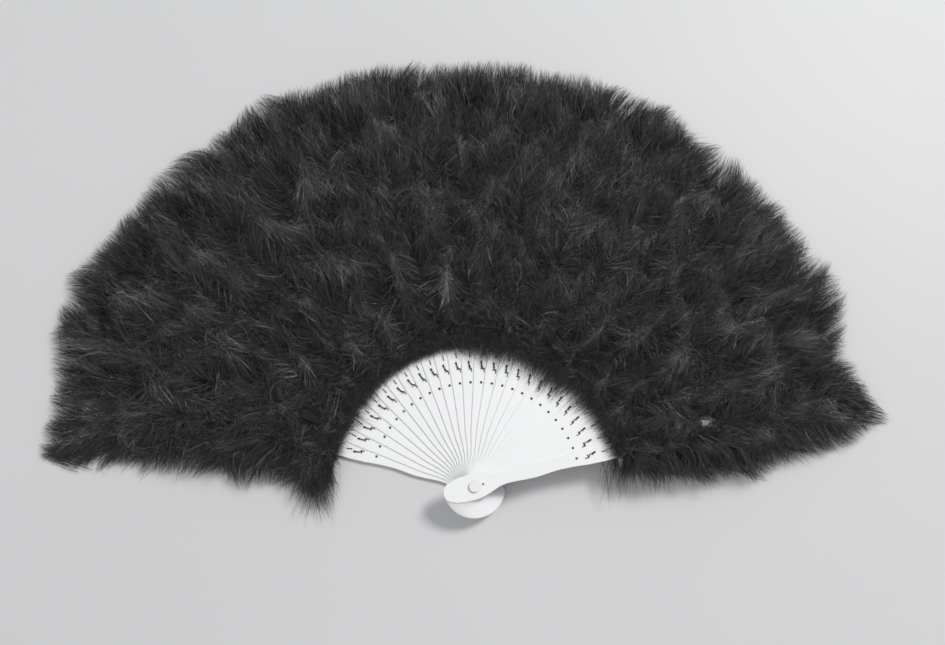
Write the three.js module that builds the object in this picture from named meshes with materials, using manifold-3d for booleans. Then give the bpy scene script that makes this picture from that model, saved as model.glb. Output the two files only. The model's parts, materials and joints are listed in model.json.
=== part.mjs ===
// Folding hand fan with white moulded staves and black marabou plumes, lying fully open.
// Millimetres, +Z up. +Y runs along the middle of the open fan and +X to its right.
// The origin is on the pivot axis, at the underside of the lower pivot head.

import * as THREE from 'three';
import { mergeVertices } from 'three/addons/utils/BufferGeometryUtils.js';
import Module from 'manifold-3d';

const wasm = await Module();
wasm.setup();

// The open fan
const inner_stave_count = 24;
const spread_deg = 148.3;

// Running clearances
const layer_gap = 0.2;
const pivot_clearance = 0.2;
const plume_clearance = 0.3;
const cut_overrun = 2;

// Outline of a stave, measured from the pivot axis
const tail_reach = 30.2;
const head_half_width = 12.2;
const neck_distance = 30;
const neck_half_width = 5;
const root_distance = 58;
const root_half_width = 6.8;
const waist_distance = 80;
const waist_half_width = 7;
const blade_distance = 124;
const blade_half_width = 8;
const stave_reach = 238;
const stave_thickness = 0.9;

// Guards, the two thicker outer staves
const guard_waist_half_width = 5.8;
const guard_blade_half_width = 9.2;
const guard_thickness = 1.6;
const guard_edge_bevel = 0.3;
const gate_recess_radius = 1.2;
const gate_recess_depth = 1;
const gate_recess_distance = 8.3;

// Holes along a stave
const link_hole_distance = 99.5;
const link_hole_radius = 1.3;
const stitch_hole_distance = 115;
const stitch_hole_spacing = 10;
const stitch_hole_radius = 0.8;

// Pivot
const pivot_radius = 2;
const pivot_head_radius = 5.5;
const pivot_head_thickness = 1.6;
const pivot_head_round = 0.5;
const washer_radius = 5;
const washer_thickness = 0.4;
const pivot_bore_radius = 1.2;
const pivot_bore_depth = 8;
const cap_spigot_clearance = 0.2;
const cap_spigot_length = 6;

// Plumes, measured from the pivot axis and from the surface that the fan lies on
const plume_start = 136;
const plume_reach = 441;
const plume_inner_cover = 7;
const plume_left_height = 28;
const plume_right_height = 46;
const plume_rim_height = 16;
const plume_tip_height = 9;
const plume_tip_lift = 2.5;
const plume_crown = 4;
const plume_tip_round = 7;
const left_edge_spread = 70;
const right_edge_spread = 52;

// Shares of the plume reach, from the left guard to the right guard
const plume_reach_shares = [0.965, 1, 0.98, 0.945, 0.94];
// Shares of the way from a plume's inner end to its tip, where its sections stand
const plume_section_shares = [0, 0.05, 0.16, 0.42, 0.7, 0.9, 1];
// Shares of the full height above the rim height at those sections
const plume_fullness_shares = [0, 0.55, 1, 1, 0.55, 0, 0];
// Shares of the guard plumes' outer spread at those sections
const edge_spread_shares = [0.5, 0.68, 0.85, 1, 1, 0.9, 0.62];
// Shares of a plume's half width, where its lengthwise ribs stand
const plume_rib_shares = [-1, -0.5, 0, 0.5, 1];

// Bluntness of the tail's round end, 2 for an ellipse and more for a squarer one
const tail_bluntness = 2.6;

// Facets
const tail_steps = 10;
const neck_steps = 4;
const swell_steps = 3;
const tip_steps = 4;
const pivot_hole_sides = 16;
const link_hole_sides = 8;
const stitch_hole_sides = 6;
const turned_sides = 32;

// Derived layout
const layer_count = inner_stave_count + 2;
const spread = THREE.MathUtils.degToRad(spread_deg);
const stave_pitch = spread / (layer_count - 1);
const pivot_hole_radius = pivot_radius + pivot_clearance;

const white_plastic = () => new THREE.MeshStandardMaterial({ color: 0xf0eee8, roughness: 0.35, metalness: 0 });
const marabou = () => new THREE.MeshStandardMaterial({ color: 0x1d1b1d, roughness: 0.95, metalness: 0 });

const fan = new THREE.Group();

function add_piece(name, geometry, material, angle = 0, height = 0) {
  const piece = new THREE.Mesh(geometry, material);
  piece.name = name;
  piece.rotation.z = -angle;
  piece.position.z = height;
  fan.add(piece);
}

function arc_points(x, y, radius, from, to, steps) {
  const points = [];
  for (let step = 0; step <= steps; step++) {
    const angle = from + (to - from) * step / steps;
    points.push(new THREE.Vector2(x + radius * Math.cos(angle), y + radius * Math.sin(angle)));
  }
  return points;
}

function round_hole(distance, radius, sides) {
  const points = arc_points(0, distance, radius, 0, 2 * Math.PI, sides);
  points.pop();
  return new THREE.Path(points);
}

// The blunt round tail behind the pivot, from its left side to its right side
function tail_points() {
  const points = [];
  for (let step = 1; step < tail_steps; step++) {
    const angle = Math.PI * step / tail_steps;
    const across = Math.sign(Math.cos(angle)) * Math.abs(Math.cos(angle)) ** (2 / tail_bluntness);
    const back = Math.sin(angle) ** (2 / tail_bluntness);
    points.push(new THREE.Vector2(-head_half_width * across, -tail_reach * back));
  }
  return points;
}

// Right side from the pivot to the blade: each stretch runs along half a cosine wave
function side_points(waist, blade) {
  const stations = [
    { distance: 0, half_width: head_half_width, steps: 0 },
    { distance: neck_distance, half_width: neck_half_width, steps: neck_steps },
    { distance: root_distance, half_width: root_half_width, steps: swell_steps },
    { distance: waist_distance, half_width: waist, steps: swell_steps },
    { distance: blade_distance, half_width: blade, steps: swell_steps },
  ];
  const points = [new THREE.Vector2(head_half_width, 0)];
  for (let index = 1; index < stations.length; index++) {
    const from = stations[index - 1];
    const to = stations[index];
    for (let step = 1; step <= to.steps; step++) {
      const share = step / to.steps;
      const change = (1 - Math.cos(Math.PI * share)) / 2;
      points.push(new THREE.Vector2(
        THREE.MathUtils.lerp(from.half_width, to.half_width, change),
        THREE.MathUtils.lerp(from.distance, to.distance, share),
      ));
    }
  }
  return points;
}

// Broad head round the pivot, slim neck, slight swell and waist, and a blade with a round end
function stave_shape(waist, blade) {
  const right_side = side_points(waist, blade);
  const left_side = right_side.map((point) => new THREE.Vector2(-point.x, point.y)).reverse();
  const shape = new THREE.Shape([
    ...tail_points(),
    ...right_side,
    ...arc_points(0, stave_reach - blade, blade, 0, Math.PI, tip_steps),
    ...left_side,
  ]);
  shape.holes.push(round_hole(0, pivot_hole_radius, pivot_hole_sides));
  shape.holes.push(round_hole(link_hole_distance, link_hole_radius, link_hole_sides));
  for (const place of [stitch_hole_distance, stitch_hole_distance + stitch_hole_spacing]) {
    shape.holes.push(round_hole(place, stitch_hole_radius, stitch_hole_sides));
  }
  return shape;
}

function stave_geometry() {
  return new THREE.ExtrudeGeometry(stave_shape(waist_half_width, blade_half_width), {
    depth: stave_thickness,
    bevelEnabled: false,
  });
}

function guard_geometry() {
  const outline = stave_shape(guard_waist_half_width, guard_blade_half_width);
  const geometry = new THREE.ExtrudeGeometry(outline, {
    depth: guard_thickness - 2 * guard_edge_bevel,
    bevelEnabled: true,
    bevelThickness: guard_edge_bevel,
    bevelSize: guard_edge_bevel,
    bevelOffset: -guard_edge_bevel,
    bevelSegments: 1,
  });
  return geometry.translate(0, 0, guard_edge_bevel);
}

function to_solid(geometry) {
  const bare = geometry.clone();
  bare.deleteAttribute('normal');
  bare.deleteAttribute('uv');
  const merged = mergeVertices(bare);
  const mesh = new wasm.Mesh({
    numProp: 3,
    vertProperties: new Float32Array(merged.attributes.position.array),
    triVerts: new Uint32Array(merged.index.array),
  });
  mesh.merge();
  return new wasm.Manifold(mesh);
}

function to_geometry(solid) {
  const mesh = solid.getMesh();
  const geometry = new THREE.BufferGeometry();
  geometry.setAttribute('position', new THREE.BufferAttribute(mesh.vertProperties, 3));
  geometry.setIndex(new THREE.BufferAttribute(mesh.triVerts, 1));
  const flat = geometry.toNonIndexed();
  flat.computeVertexNormals();
  return flat;
}

// A profile of radius and height pairs turned about the pivot axis
function turned_geometry(profile) {
  const points = profile.map(([radius, height]) => new THREE.Vector2(radius, height));
  return new THREE.LatheGeometry(points, turned_sides).rotateX(Math.PI / 2);
}

function washer_geometry() {
  return turned_geometry([
    [pivot_hole_radius, 0],
    [washer_radius, 0],
    [washer_radius, washer_thickness],
    [pivot_hole_radius, washer_thickness],
    [pivot_hole_radius, 0],
  ]);
}

// Heights of the stacked layers
const lower_washer_base = pivot_head_thickness + layer_gap;
const layers = [];
let layer_base = lower_washer_base + washer_thickness + layer_gap;
for (let index = 0; index < layer_count; index++) {
  const is_guard = index === 0 || index === layer_count - 1;
  const thickness = is_guard ? guard_thickness : stave_thickness;
  layers.push({
    index,
    is_guard,
    thickness,
    base: layer_base,
    half_width: is_guard ? guard_blade_half_width : blade_half_width,
    angle: -spread / 2 + index * stave_pitch,
  });
  layer_base += thickness + layer_gap;
}
const upper_washer_base = layer_base;
const cap_base = upper_washer_base + washer_thickness + layer_gap;

function layer_name(layer, guard_stem, inner_stem) {
  if (layer.index === 0) {
    return `${guard_stem}_left`;
  }
  if (layer.index === layer_count - 1) {
    return `${guard_stem}_right`;
  }
  return `${inner_stem}_${String(layer.index).padStart(2, '0')}`;
}

// The pivot post has a flat lower head and a bore in its top for the cap's spigot
function pivot_post_geometry() {
  const shaft_top = cap_base - layer_gap;
  return turned_geometry([
    [0, 0],
    [pivot_head_radius - pivot_head_round, 0],
    [pivot_head_radius, pivot_head_round],
    [pivot_head_radius, pivot_head_thickness],
    [pivot_radius, pivot_head_thickness],
    [pivot_radius, shaft_top],
    [pivot_bore_radius, shaft_top],
    [pivot_bore_radius, shaft_top - pivot_bore_depth],
    [0, shaft_top - pivot_bore_depth],
  ]);
}

function pivot_cap_geometry() {
  const spigot_radius = pivot_bore_radius - cap_spigot_clearance;
  return turned_geometry([
    [0, -cap_spigot_length],
    [spigot_radius, -cap_spigot_length],
    [spigot_radius, 0],
    [pivot_head_radius, 0],
    [pivot_head_radius, pivot_head_thickness - pivot_head_round],
    [pivot_head_radius - pivot_head_round, pivot_head_thickness],
    [0, pivot_head_thickness],
  ]);
}

// A small round recess in the outer face of the right guard, where the moulding was fed
function gate_recess() {
  const cutter = new THREE.CylinderGeometry(
    gate_recess_radius, gate_recess_radius, gate_recess_depth + cut_overrun, link_hole_sides,
  );
  cutter.rotateX(Math.PI / 2);
  cutter.translate(0, gate_recess_distance, guard_thickness + (cut_overrun - gate_recess_depth) / 2);
  return cutter;
}

function right_guard_geometry() {
  return to_geometry(to_solid(guard_geometry()).subtract(to_solid(gate_recess())));
}

// Value at a share of the way along evenly spaced values
function along(values, share) {
  const place = share * (values.length - 1);
  const left = Math.min(Math.floor(place), values.length - 2);
  return THREE.MathUtils.lerp(values[left], values[left + 1], place - left);
}

function is_outermost(layer, side) {
  return (side < 0 && layer.index === 0) || (side > 0 && layer.index === layer_count - 1);
}

function side_half_width(layer, side, distance, section) {
  if (!is_outermost(layer, side)) {
    return distance * Math.tan(stave_pitch / 2) - plume_clearance / 2;
  }
  const edge_spread = side < 0 ? left_edge_spread : right_edge_spread;
  return edge_spread * edge_spread_shares[section];
}

// Corner points of a plume: one closed loop over its top and back under it for each rib
function plume_loops(layer) {
  const share_across = layer.index / (layer_count - 1);
  const reach = plume_reach * along(plume_reach_shares, share_across);
  const full_height = THREE.MathUtils.lerp(plume_left_height, plume_right_height, share_across);
  const inner_top = layer.base + layer.thickness + plume_inner_cover;
  const inner_bottom = Math.max(0, layer.base - plume_inner_cover);
  const last = plume_section_shares.length - 1;
  return plume_rib_shares.map((rib) => {
    const top = [];
    const bottom = [];
    plume_section_shares.forEach((share, section) => {
      const distance = THREE.MathUtils.lerp(plume_start, reach, share);
      const y = distance - plume_tip_round * rib * rib * share;
      const x = rib * side_half_width(layer, rib, y, section);
      const low_line = share < plume_section_shares[2] ? inner_top : plume_rim_height;
      let high = low_line + (full_height - low_line) * plume_fullness_shares[section];
      let low = 0;
      if (section === 0) {
        low = inner_bottom;
      }
      if (section === last) {
        high = plume_tip_height;
        low = plume_tip_lift;
      }
      const edge_height = is_outermost(layer, rib) ? plume_rim_height : high - plume_crown;
      const side_height = Math.min(high, Math.max(edge_height, low + plume_tip_height - plume_tip_lift));
      top.push([x, y, THREE.MathUtils.lerp(high, side_height, rib * rib)]);
      bottom.unshift([x, y, low]);
    });
    return [...top, ...bottom];
  });
}

function loft_geometry(loops) {
  const vertices = loops.flat(2);
  const around = loops[0].length;
  const faces = [];
  for (let rib = 0; rib < loops.length - 1; rib++) {
    for (let corner = 0; corner < around; corner++) {
      const next = (corner + 1) % around;
      const a = rib * around + corner;
      const b = rib * around + next;
      faces.push(a, b + around, b, a, a + around, b + around);
    }
  }
  const sections = around / 2;
  for (let section = 0; section < sections - 1; section++) {
    const upper = section;
    const lower = around - 1 - section;
    faces.push(upper, upper + 1, lower, upper + 1, lower - 1, lower);
    const far = (loops.length - 1) * around;
    faces.push(far + upper, far + lower, far + upper + 1, far + upper + 1, far + lower, far + lower - 1);
  }
  const geometry = new THREE.BufferGeometry();
  geometry.setAttribute('position', new THREE.BufferAttribute(new Float32Array(vertices), 3));
  geometry.setIndex(faces);
  return geometry;
}

// The space that a blade takes inside the plumes, with its clearance
function blade_space(layer, turn) {
  const width = 2 * (layer.half_width + plume_clearance);
  const length = stave_reach + plume_clearance - plume_start + cut_overrun;
  const height = layer.thickness + 2 * plume_clearance;
  const box = new THREE.BoxGeometry(width, length, height);
  box.translate(0, stave_reach + plume_clearance - length / 2, layer.base + layer.thickness / 2);
  return to_solid(box.rotateZ(turn));
}

// A plume leaves room for its own blade, and at its inner end for the edges of the next ones
function plume_geometry(layer) {
  let solid = to_solid(loft_geometry(plume_loops(layer)));
  for (const other of layers) {
    if (Math.abs(other.index - layer.index) <= 1) {
      solid = solid.subtract(blade_space(other, layer.angle - other.angle));
    }
  }
  return to_geometry(solid);
}

add_piece('pivot_post', pivot_post_geometry(), white_plastic());
add_piece('washer_lower', washer_geometry(), white_plastic(), 0, lower_washer_base);
for (const layer of layers) {
  const stave_name = layer_name(layer, 'guard', 'stave');
  const plume_name = layer_name(layer, 'plume', 'plume');
  let geometry = layer.is_guard ? guard_geometry() : stave_geometry();
  if (layer.index === layer_count - 1) {
    geometry = right_guard_geometry();
  }
  add_piece(stave_name, geometry, white_plastic(), layer.angle, layer.base);
  add_piece(plume_name, plume_geometry(layer), marabou(), layer.angle);
}
add_piece('washer_upper', washer_geometry(), white_plastic(), 0, upper_washer_base);
add_piece('pivot_cap', pivot_cap_geometry(), white_plastic(), 0, cap_base);

export default fan;
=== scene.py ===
import json
import math

import bpy
import numpy as np
from mathutils import Matrix, Vector

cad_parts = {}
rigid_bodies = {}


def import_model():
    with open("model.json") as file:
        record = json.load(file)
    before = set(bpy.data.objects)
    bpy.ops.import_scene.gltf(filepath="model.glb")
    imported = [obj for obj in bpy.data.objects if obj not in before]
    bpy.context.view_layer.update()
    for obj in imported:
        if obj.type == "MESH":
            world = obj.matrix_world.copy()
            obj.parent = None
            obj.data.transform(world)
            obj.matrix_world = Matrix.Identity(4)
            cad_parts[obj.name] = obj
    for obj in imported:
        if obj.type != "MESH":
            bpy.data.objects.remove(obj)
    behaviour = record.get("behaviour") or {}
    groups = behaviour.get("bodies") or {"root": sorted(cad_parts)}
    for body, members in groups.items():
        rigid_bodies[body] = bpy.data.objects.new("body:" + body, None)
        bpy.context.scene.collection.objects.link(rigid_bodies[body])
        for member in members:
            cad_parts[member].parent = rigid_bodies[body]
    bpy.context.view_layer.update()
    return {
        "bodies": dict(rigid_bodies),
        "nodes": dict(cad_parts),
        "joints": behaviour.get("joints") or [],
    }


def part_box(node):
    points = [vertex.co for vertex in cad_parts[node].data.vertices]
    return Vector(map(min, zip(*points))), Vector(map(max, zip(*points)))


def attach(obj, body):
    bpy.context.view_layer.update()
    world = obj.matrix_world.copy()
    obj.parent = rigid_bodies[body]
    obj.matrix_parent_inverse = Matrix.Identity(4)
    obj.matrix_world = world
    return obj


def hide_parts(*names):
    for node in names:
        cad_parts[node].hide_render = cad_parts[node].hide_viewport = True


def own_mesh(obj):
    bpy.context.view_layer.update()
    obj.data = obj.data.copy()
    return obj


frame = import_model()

MM = 0.001
FULL_TURN = 2 * math.pi
UP = np.array([0.0, 0.0, 1.0])
SEED = 2600

# Layout of the fan, read from the frame
FOLD_JOINT = "fan_fold"
LEAF_COUNT = len(frame["bodies"])
FOLD_DEG = next(j["range_deg"][1] for j in frame["joints"] if j["name"] == FOLD_JOINT)
PITCH = math.radians(FOLD_DEG) / (LEAF_COUNT - 1)
SIDE_SLOPE = math.tan(PITCH / 2)

# Plumage in millimetres, measured from the pivot axis and from the floor
PLUME_START = 136.0
INNER_COVER = 8.0
RIM_HEIGHT = 17.0
HEIGHT_SHARES = (0.0, 0.05, 0.16, 0.42, 0.70, 0.90, 1.0)
FULLNESS = (0.0, 0.55, 1.0, 1.0, 0.55, 0.05, -0.25)

# Rim of the plumage: degrees clockwise from the middle of the fan, and distance from the pivot
RIM_DEG = (-90, -84, -78, -70, -64, -60, -52, -46, -40, -32, -26, -18, -8,
           0, 12, 20, 28, 40, 48, 55, 62, 70, 76, 80, 85, 90)
RIM_REACH = (418, 425, 426, 441, 454, 447, 450, 440, 441, 453, 443, 448, 438,
             438, 433, 437, 437, 418, 423, 414, 417, 388, 404, 418, 402, 398)

# Outer edge of the two end leaves: distance along the guard, and reach to its outer side
EDGE_ALONG = (128, 142, 152, 163, 178, 221, 268, 307, 340, 391, 408, 430)
LEFT_EDGE = (22, 48, 60, 56, 52, 57, 67, 74, 80, 92, 94, 80)
RIGHT_EDGE = (16, 26, 32, 36, 44, 57, 59, 59, 58, 50, 46, 34)
EDGE_DROOP = 0.7

# How far hair may stand past the solid model
LOWEST = 0.7
LIMIT_LOW = np.array([-446.0, -52.0, LOWEST])
LIMIT_HIGH = np.array([432.0, 453.0, 56.0])

# Strands rest softly on the floor and are pressed down above the proud top, and their roots lie
# between the floor's gap and the crown's cover
REST_DEPTH = 1.0
PROUD_TOP = 6.0
PROUD_SHARE = 0.2
FLOOR_GAP = 2.0
CROWN_COVER = 3.0
HAIR_COVER = 2.0
RADIUS_RANGE = (0.75, 1.25)
TONE_RANGE = (0.06, 1.0)
STRAND_FACING = (0.31, 0.17, 0.93)

# Inner edge of the fluff over the bare blades, given as the rim is, how softly it ends there, and
# its hairs
INNER_DEG = (-80, -70, -62, -54, -46, -20, -10, -4, 2, 14, 24, 34, 40, 46, 50, 56, 70, 80)
INNER_REACH = (131, 131, 127, 126, 130, 131, 130, 124, 120, 119, 116, 110, 112, 121, 116, 123, 126, 131)
INNER_SOFT = (3, 4, 9, 7, 3, 2, 3, 5, 5, 8, 7, 7, 6, 9, 10, 6, 3, 5)
INNER_HAIRS = 170
INNER_ROOTS = (138.0, 152.0)
INNER_RADIUS = 0.15
INNER_LEAN = 0.22
INNER_BEND = 0.3
INNER_TONE = (0.38, 0.15)
INNER_SOFT_TONE = 0.012
INNER_OVER_BLADE = (1.6, 5.0)
INNER_MIDDLE = 0.74
INNER_SHORTEST = 5.0
INNER_GUARD_HALF_WIDTH = 12.0

# Tiers of feathers on each leaf, from the rim to the handle: how many, where the quills are bound,
# how far they reach as a share of the leaf, their level from the floor, 0, to the crown, 1, and
# the share of the quill where its barbs begin
TIERS = (
    (8, (196, 234), (0.95, 1.00), (0.05, 0.85), 0.50),
    (4, (186, 224), (0.84, 0.94), (0.55, 0.92), 0.40),
    (4, (164, 200), (0.69, 0.82), (0.72, 0.98), 0.30),
    (4, (140, 172), (0.53, 0.66), (0.75, 0.98), 0.15),
    (2, (138, 146), (0.42, 0.50), (0.80, 0.98), 0.0),
    (2, (140, 230), (0.60, 0.97), (0.02, 0.20), 0.2),
)
TIER_PLACE = (0.2, 0.8)
SIDE_SPREAD = 1.1
STRAY = 5.0
STRAY_REACH_SHARE = 0.9
BOUND_HALF_WIDTH = 6.0
TIP_INSET = 20.0
UNDERSIDE_LEVEL = 0.25

# Rows of feathers that fill the outer side of the end leaves
EDGE_START = 148.0
EDGE_TIP_INSET = 14.0
EDGE_STEP = 19.0
EDGE_ROWS = (0.28, 0.52, 0.76, 1.0)
EDGE_QUILL = (60.0, 170.0)
EDGE_BOUND = (138.0, 234.0)
EDGE_ROOT = (1.0, BOUND_HALF_WIDTH)
EDGE_LEVEL = (0.1, 0.97)
EDGE_BARE = 0.35

# Quills rise from the blade's faces to their level, and wave to both sides
QUILL_STEPS = 9
QUILL_RISE = 0.35
QUILL_SPREAD_POWER = 1.3
QUILL_WAVE = 5.0
QUILL_BENDS = (1.0, 2.0)
QUILL_BLADE_GAP = 1.0
QUILL_RADIUS = (0.55, 0.15)
QUILL_TONE = 0.3

# Barbs stand in locks along both sides of a quill, at angles and lengths that change along it
LOCK_SHARES = (0.0, 0.25, 0.75, 1.0)
LOCK_ANGLES = (80.0, 58.0, 40.0, 12.0)
LOCK_LENGTHS = (22.0, 34.0, 36.0, 28.0)
LOCK_ANGLE_SPREAD = 9.0
LOCK_LENGTH_RANGE = (0.8, 1.15)
UNDERSIDE_ROLL = 20.0
BARB_STEPS = 4
BARB_TAPER = (1.0, 0.92, 0.6, 0.0)
BARB_PLACE_SPREAD = 0.025
BARB_ANGLE_SPREAD = 6.0
BARB_ROLL_SPREAD = 12.0
BARB_CURL_SPREAD = 10.0
BARB_LENGTH_RANGE = (0.7, 1.1)
BARB_TIP_ROLL = 0.45
BARB_FALL = 0.22
BARB_WOBBLE = 0.3

# Full barbs, and the finer hairs that curl up from them, whose light tone is painted glints
BARBS = {
    "locks": 12, "each": 11, "radius": 0.22, "length": 1.0, "lift": 16.0, "roll": 30.0,
    "curl": (-12.0, 42.0), "loose": 1.4, "tone": (0.385, 0.11), "own_tone": 0.14, "above": 0.0,
    "splay": 1.0,
}
EDGE_BARBS = dict(BARBS, locks=9, each=7, splay=1.3)
PAINTED_GLINT_HAIRS = {
    "locks": 30, "each": 3, "radius": 0.12, "length": 0.36, "lift": 40.0, "roll": 34.0,
    "curl": (-5.0, 66.0), "loose": 1.7, "tone": (0.88, 0.12), "own_tone": 0.06, "above": 0.5,
    "splay": 1.15,
}
EDGE_PAINTED_GLINT_HAIRS = dict(PAINTED_GLINT_HAIRS, locks=14)
FEATHER_TONE = 0.07

# How far inside the rim and the inner edge the barbs end, and how short that may make them
RIM_INSET = (1.0, 16.0)
INNER_INSET = (-3.0, 10.0)
RIM_SHORTEST_SHARE = 0.2
INNER_SHORTEST_SHARE = 0.15
LEAST_REACH = 0.001

# Ruff of short fluff round the blade where the plumage begins
RUFF_HAIRS = 420
RUFF_START = 137.0
RUFF_DEPTH = 12.0
RUFF_CROWDING = 1.5
RUFF_WIDTH_PLACE = 144.0
RUFF_WIDTH_SHARE = 0.8
RUFF_BLADE_SIDE = 8.5
RUFF_BARE_SIDE = 9.0
RUFF_ROOT_GAP = 0.3
RUFF_BLADE_GAP = 0.4
RUFF_UNDER_BLADE = 6.0
RUFF_FLOOR_GAP = 1.5
RUFF_SIDEWAYS = 0.75
RUFF_OUTWARD = (-0.9, 0.9)
RUFF_UPWARD = (-0.1, 0.8)
RUFF_BEND = 0.5
RUFF_DROOP = (0.0, 0.1, -0.5)
RUFF_LENGTH = (9.0, 20.0)
RUFF_RADIUS = 0.15
RUFF_TONE = (0.45, 0.15)

# Clumps in the fluff: their size around the fan, how much longer they are outward, how far they
# draw the strands together, also at the root, how much higher they stand than the gaps, and how much
# lighter they are, as painted light on the clumps and painted shade in the gaps
CLUMP_SIZE = 42.0
CLUMP_STRETCH = 1.2
CLUMP_PULL = 1.6
CLUMP_ROOT_SHARE = 0.3
CLUMP_RISE = 2.6
CLUMP_PAINTED_LIGHT = 0.08
ARC_RADIUS = 300.0
RIPPLE_WAVES = 30
RIPPLE_SIZES = (0.7, 1.7)

# Fine hairs side by side that end the plumage at its rim and along the edges of the end leaves.
# Their lean and bend come from the tufts, from the rim's waves and from chance, in these shares
FRINGE_SPACING = 0.2
FRINGE_LENGTH = (16.0, 48.0)
FRINGE_RADIUS = 0.26
FRINGE_TONE = (0.45, 0.18)
FRINGE_TUFT_TONE = 0.06
FRINGE_TUFT_SIZE = 22.0
FRINGE_WAVE_SIZE = 60.0
FRINGE_WAVE = 4.0
FRINGE_TUFT_SHARE = 0.7
FRINGE_PAST = 2.0
FRINGE_FRAY = 6.5
FRINGE_LEAN_DEG = 14.0
FRINGE_LEAN_SHARES = (0.6, 0.6, 0.7)
FRINGE_BEND_SHARES = (0.0, 0.8, 0.6)
FRINGE_LEVEL = (0.1, 1.0)
FRINGE_LEAST_TOP = 3.0
FRINGE_END_SHARES = (0.15, 0.8)
FRINGE_START = 133.0
FRINGE_STEP = 1.0
FRINGE_OUTWARD_ALONG = (140, 155, 300, 400)
FRINGE_OUTWARD = (0.25, 0.05, 0.20, 0.45)

# Loose tufts at the inner ends of the end plumes: the corners that hold their roots as (side, along),
# the roots' height from the blade's face, their headings from the blade's way outward, and how far
# they hang down
LOOSE_TUFTS = (
    {"stem": "left", "roots": ((-46.0, 140.0), (-14.0, 157.0)), "start": (-1.0, 9.0),
     "heading": (-140.0, -78.0), "length": (24.0, 46.0), "count": 260, "radius": 0.17,
     "tone": (0.55, 0.1), "hang": 0.9},
    # The right tufts' light tones are painted highlights on their hairs
    {"stem": "right", "roots": ((4.0, 123.0), (20.0, 152.0)), "start": (-9.0, -2.5),
     "heading": (84.0, 118.0), "length": (24.0, 50.0), "count": 80, "radius": 0.14,
     "tone": (0.72, 0.1), "hang": 1.0},
    {"stem": "right", "roots": ((6.0, 137.0), (9.5, 142.0)), "start": (0.5, 4.0),
     "heading": (78.0, 112.0), "length": (9.0, 16.0), "count": 18, "radius": 0.22,
     "tone": (1.0, 0.1), "hang": 0.1},
)
TUFT_BEND = 0.28
TUFT_END_HEIGHT = 1.5
TUFT_FALL_SHARE = 0.6

# Small parting where the right guard shows through, in the fan's coordinates
PARTING = np.array([217.5, 62.2])
PARTING_RADIUS = (1.5, 7.0)
PARTING_NARROWING = 1.5
PARTING_CROSSED = 0.04
PARTING_SAMPLES = 4
PARTING_DIP = 10.0
PARTING_DIP_HEIGHT = 4.0
PARTING_LEAVES = 4

# The solid fluff under the barbs
DOWN_SECTIONS = 26
DOWN_RING = 28
DOWN_START = 146.0
DOWN_INSET = 8.0
DOWN_RIM_INSET = 46.0
DOWN_WIDTH_SHARE = 1.15
DOWN_EDGE_INSET = 38.0
DOWN_EDGE_LEAST = 7.0
DOWN_EDGE_TAPER = ((0.6, 1.0), (1.0, 0.35))
DOWN_SQUARENESS = 0.7
DOWN_LEAST_TOP = 4.0
DOWN_UNDER_BLADE = 5.0
DOWN_FLOOR_GAP = 1.2
DOWN_BLADE_SHARE = 0.12
DOWN_ENDS = ((0.0, 0.02, 0.92, 1.0), (0.6, 1.0, 1.0, 0.25))
DOWN_ROUGH = 1.8
DOWN_ROUGH_SHARES = np.array([1.0, 2.0, 0.6])
DOWN_RAGGED = 7.0
DOWN_RAGGED_FROM = 0.75
DOWN_LOWEST = 1.0

# Binding thread on each blade. The knotted stitch comes up through the first hole, and its middle
# is given on the left guard and the right one. The outer stitch goes from the second hole under
# the fluff
THREAD_RADIUS = 0.36
THREAD_KNOT_RADIUS = 0.85
THREAD_TAIL_RADIUS = 0.4
THREAD_LIFT_SHARE = 0.8
THREAD_STEPS = 30
THREAD_BEND = 0.12
THREAD_SIDES = 6
THREAD_TONES = (0.1, 0.9)
THREAD_HOLES = (115.0, 125.0)
KNOT_MIDDLE = (116.3, 112.2)

# Points of the knotted stitch as (side, along) from its middle or an earlier point, and the
# heights of its pieces over the blade
STITCH_JITTER = 0.3
STITCH_TOP = (-1.1, 5.2)
STITCH_TURN = (-0.5, -0.2)
STITCH_STEP = (1.9, 2.9)
STITCH_ASIDE = -0.9
STITCH_TAIL = (-0.1, -4.7)
STITCH_KNOT = ((-0.3, 0.9), (0.1, -1.4))
STITCH_SPUR = ((-0.5, -0.5), (-0.7, -0.9))
BAR_HEIGHTS = (0.1, 0.6, 0.4, 0.2)
KNOT_HEIGHTS = (0.0, 0.2, 0.0)
SPUR_HEIGHTS = (0.4, 0.3, 0.0)
TAIL_HEIGHTS = (0.1, 0.0)
OUTER_STITCH = 4.4
OUTER_SLANT = 0.6
OUTER_HEIGHT = 0.2

# Dark disc of painted shade near the bottom of the right guard's gate recess
GATE_DISTANCE = 8.3
GATE_RADIUS = 1.0
GATE_DEPTH = (0.98, 0.85)
GATE_SIDES = 12

# The map carries a strand's tone across and the place along it upward
UV_MAP = "OFBake"
UV_EDGE = 0.02
TONE_WIDTH = 0.92
STRAND_WIDTH = 0.04
SKIN_TONE_RANGE = 0.05
DOWN_SLOT = 1

# Painted glints and painted shade along the strands: how often they come across and along a strand,
# and the noise's middle range that turns the tone darker or lighter
GLINT_PACE = (25.0, 4.5, 0.0)
GLINT_NOISE = (0.35, 0.65)
GLINT_RANGE = (0.4, 1.6)

# Plastics: darkest and lightest grey, its warmth, lowest and highest roughness, and the grain's scale
PLASTICS = {
    "moulded_white_plastic": (0.84, 0.88, -0.004, 0.34, 0.46, 420.0),
    "turned_white_plastic": (0.80, 0.85, 0.004, 0.26, 0.36, 900.0),
    # The dark disc in the gate recess is painted shade
    "recess_painted_shade": (0.26, 0.34, 0.0, 0.75, 0.9, 1800.0),
}

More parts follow.
